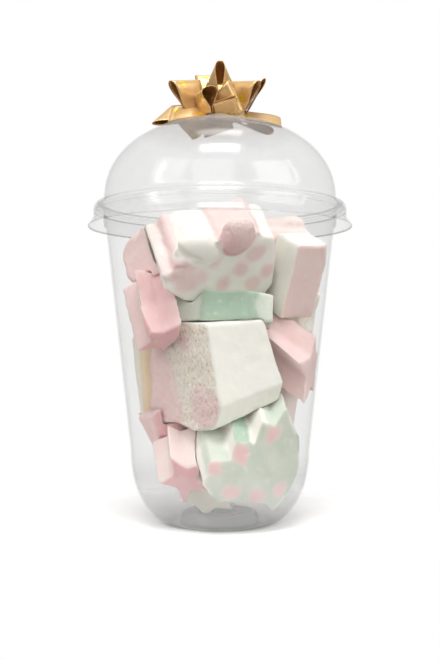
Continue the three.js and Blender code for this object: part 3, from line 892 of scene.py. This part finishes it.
def finish_marshmallow(log, piece, foam):
    """Gives a pressed marshmallow its relief, and marks its tints, its cuts and where it lies on the wall."""
    points, normals = points_of(piece), normals_of(piece)
    x, y, angle, out = log.within(points)
    to_wall = room_radius(points[:, 2]) - np.hypot(points[:, 0], points[:, 1])
    pressed = smoothstep(to_wall, *FADES["pressed"])
    facing = normals @ log.turn[:, 2]
    cut = smoothstep(np.abs(facing), *FADES["cut"])
    near_end = smoothstep(facing, *FADES["near_end"])
    wander = layered(points, WANDER, 0.5)
    blotch = layered(points, BLOTCHES, 0.5)

    seams = strand_seams(log, angle, wander) * smoothstep(out, *FADES["seams"])
    crumbs = layered(points, CRUMBS) * (0.15 + 0.85 * log.crumbly)
    depth = (layered(points, DENTS) + seams + crumbs * cut) * (1 - 0.8 * pressed) - SKIN
    move_points(piece, points - normals * depth[:, None])

    core = np.maximum(cut, pressed) * smoothstep(out, *FADES["core"])
    tints = blend(strand_tints(log, angle, wander), core, STRAND_TINTS[log.middle])
    for spot_x, spot_y, radius in SPOTS.get(log.name, ()):
        away = np.hypot(x - spot_x, y - spot_y) - radius + SPOT_BORDER["ragged"] * blotch
        spot = smoothstep(away, SPOT_BORDER["soft"], -SPOT_BORDER["soft"]) * near_end
        tints = blend(tints, spot, SPOT_TINT.get(log.name, DOT_TINT))
    rough = cut * log.crumbly
    if log.name in SMOOTH_SIDE:
        right = x - SMOOTH_SIDE[log.name] + SMOOTH_BORDER["ragged"] * blotch
        smooth = smoothstep(right, SMOOTH_BORDER["outside"], -SMOOTH_BORDER["inside"]) * near_end
        rough = rough * (1 - smooth)
        tints = blend(tints, smooth, SMOOTH_TINT)
    for centre, half_axes, pink in TORN.get(log.name, ()):
        away = ((points - log.at) @ log.turn - centre) / half_axes
        torn = smoothstep(np.linalg.norm(away, axis=1) + 0.1 * blotch, *FADES["torn"])
        rough = np.maximum(rough, 0.6 * torn * (pink > 0))
        paler_up = 1 - 0.45 * away[:, 1]
        tints = blend(tints, torn, (0, 0, 0)) + np.outer(torn * pink * paler_up, (1, 0, 0))
    mark(piece, cut=rough, pressed=pressed, **dict(zip(TINTS, tints.T)))
    dress(piece, foam, slot_of(log.name), "marshmallow_" + log.name)


def make_marshmallows():
    foam = marshmallow_finish()
    room = turned("room", room_outline(), SIDES["room"], closed=False)
    earlier, made = [], []
    for row in MARSHMALLOWS:
        log = Log(*row)
        made.append((log, press(log, room, earlier)))
        grown = log_piece(log, "grown", SOFT_GAP)
        earlier.append((grown, reach(grown)))
    for mould in [room, *[grown for grown, _ in earlier]]:
        bpy.data.objects.remove(mould)
    for log, piece in made:
        finish_marshmallow(log, piece, foam)


# ---- Bow ----
def dome_height(radius, clear=0.0):
    """The height of the dome's outside at a distance from the axis, with some clearance."""
    out = np.minimum(radius / LID["dome"], 1) ** LID["power"]
    return LID["base"] + (LID["top"] - LID["base"]) * (1 - out) ** (1 / LID["power"]) + clear


def petal_points(base, out, roll, length, belly, taper, skew, foot):
    """A loop of ribbon as its two faces' points, with how far each is along and across the ribbon."""
    ribbon, ends, pinch, least = BOW["ribbon"], BOW["ends"], BOW["pinch"], BOW["least"]
    fullest = 0.77  # the most that the bulge's two sines come to
    along = np.linspace(ends, 1 - ends, BOW["steps"])
    t, across = np.meshgrid(along, np.linspace(-0.5, 0.5, BOW["strips"]), indexing="ij")

    def on_loop(t):
        away = np.sin(math.pi * t)
        bulge = belly / fullest * np.sin(2 * math.pi * t) * away
        wide = np.abs(bulge)
        opened = least + (wide - least) * (1 + taper * across)
        closed = np.where(np.abs(t - 0.5) > 0.25, least, wide)
        return np.stack([length * away, np.sign(bulge) * np.where(wide > least, opened, closed)], -1)

    slope = on_loop(t + ends / 4) - on_loop(t - ends / 4)
    slope /= np.linalg.norm(slope, axis=-1, keepdims=True)
    side = np.stack([-slope[..., 1], slope[..., 0]], -1) * BOW["film"] / 2
    turn = aimed(*out, roll) @ np.array(Matrix.Rotation(math.radians(-90), 3, "Y"))
    centre = np.array((base[0], base[1], foot + base[2]))
    placed = []
    for loop in (on_loop(t) + side, on_loop(t) - side):
        share = loop[..., 0] / length
        wide = ribbon * across * (pinch + (1 - pinch) * share)
        local = np.stack([loop[..., 0] + skew * across * share, loop[..., 1], wide], -1)
        placed.append(local.reshape(-1, 3) @ turn.T + centre)
    return placed, t.ravel() * 2 * length, across.ravel() * ribbon


def petal_mesh(petal, foot, index):
    """A petal's points and faces, with how far each point is along and across the print, and whether it is on
    the ribbon's inner face."""
    steps, strips = BOW["steps"], BOW["strips"]
    placed, along, across = petal_points(*petal, foot)
    points = np.concatenate(placed)
    count = steps * strips
    outer = grid_faces(steps, strips)
    inner = [[i + count for i in face[::-1]] for face in outer]
    rim = [i * strips for i in range(steps)] + [(steps - 1) * strips + j for j in range(1, strips)]
    rim += [i * strips + strips - 1 for i in range(steps - 2, -1, -1)] + list(range(strips - 2, 0, -1))
    edge = [[a, b, b + count, a + count] for a, b in zip(rim, rim[1:] + rim[:1])]
    radius = np.hypot(points[:, 0], points[:, 1])
    over_pad = (BOW["pad_thickness"] + BOW["clear"]) * (radius < BOW["pad"] + 1)
    points[:, 2] = np.maximum(points[:, 2], dome_height(radius, over_pad + BOW["clear"]))
    inside = np.repeat([0.0, 1.0], count)
    along = np.tile(along + BOW["print_shift"] * index, 2)
    return points, outer + inner + edge, along, np.tile(across, 2), inside


def hub_mesh(foot):
    """The short hub that the petals meet at, like a petal's mesh."""
    angle = np.arange(BOW["hub_sides"]) * 2 * math.pi / BOW["hub_sides"]
    wide, high, ease = BOW["hub"], BOW["hub_height"], BOW["hub_ease"]
    outline = [(0, 0), (wide - ease, 0), (wide, ease), (wide, high - ease), (wide - ease, high), (0, high)]
    rows = [np.stack([r * np.cos(angle), r * np.sin(angle), foot + h + 0 * angle], -1) for r, h in outline]
    points = np.concatenate(rows)
    faces = grid_faces(len(rows), len(angle), column_wrap=True)
    return points, faces, points[:, 0], points[:, 1], np.ones(len(points))


def make_bow():
    base = LID["top"] + GAP
    top = base + BOW["pad_thickness"]
    foot = top + GAP
    parts = [petal_mesh(petal, foot, index) for index, petal in enumerate(PETALS)] + [hub_mesh(foot)]
    points, faces, along, across, inside = zip(*parts)
    starts = np.cumsum([0, *map(len, points)]).tolist()
    joined = [[i + start for i in face] for own, start in zip(faces, starts) for face in own]
    bow = mesh_of("ribbon_bow", np.concatenate(points), joined)
    mark(bow, along=np.concatenate(along), across=np.concatenate(across), inside=np.concatenate(inside))
    dress(bow, ribbon_finish(), "gold_ribbon", "bow_ribbon")
    pad_outline = eased([(0, base), (BOW["pad"], base), (BOW["pad"], top), (0, top)], BOW["pad_ease"])
    pad = turned("glue_dot", pad_outline, SIDES["pad"], closed=False)
    dress(pad, pad_finish(), "glue_pad", "bow_pad")


# ---- Studio ----
def make_surroundings():
    """White behind the object, and a soft grey all round it that is lighter above."""
    world = bpy.data.worlds.new("studio")
    bpy.context.scene.world = world
    sky = Finish("studio", world)
    upward = sky.node("SeparateXYZ", sockets={0: sky.node("TexCoord")}, out=2)
    rise = sky.node("MapRange", sockets={0: upward, 1: -0.3, 2: 0.6})
    grey = sky.mix(rise, (0.3, 0.29, 0.27, 1), (0.5, 0.5, 0.49, 1))
    around = sky.node("Background", sockets={"Color": grey})
    backdrop = sky.node("Background", sockets={"Color": (1, 1, 1, 1)})
    seen = sky.node("LightPath")
    sky.surface(sky.node("MixShader", sockets={0: seen, 1: around, 2: backdrop}), "World")


def make_lamp(name, size, at, power):
    data = bpy.data.lights.new(name, "AREA")
    data.shape = "RECTANGLE"
    data.size, data.size_y = (side * MM for side in size)
    data.energy = power
    lamp = bpy.data.objects.new(name, data)
    lamp.location = Vector(at) * MM
    lamp.rotation_euler = (Vector(LAMP_TARGET) - Vector(at)).to_track_quat("-Z", "Y").to_euler()
    bpy.context.scene.collection.objects.link(lamp)


def floor_finish():
    """White paper that fades out away from the cup."""
    finish = Finish("floor")
    paper = finish.node("BsdfDiffuse", sockets={"Color": (0.95, 0.95, 0.95, 1)})
    glow = finish.node("Emission", sockets={"Color": (1, 1, 1, 1), "Strength": FLOOR["glow"]})
    paper = finish.node("AddShader", sockets={0: paper, 1: glow})
    nothing = finish.node("BsdfTransparent")
    away = finish.node("VectorMath", {"operation": "LENGTH"}, {0: finish.place()}, out=1)
    gone = finish.fade(away, *FLOOR["fade"])
    return finish.surface(finish.node("MixShader", sockets={0: gone, 1: paper, 2: nothing}))


def make_studio():
    make_surroundings()
    for name, (size, at, power) in LAMPS.items():
        make_lamp(name, size, at, power)
    bpy.context.scene.view_settings.view_transform = "Standard"
    half = FLOOR["half_width"]
    corners = [(-half, -half, 0), (half, -half, 0), (half, half, 0), (-half, half, 0)]
    floor = mesh_of("floor", corners, [(0, 1, 2, 3)])
    floor.data.materials.append(floor_finish())


make_cup_and_lid()
make_marshmallows()
make_bow()
make_studio()
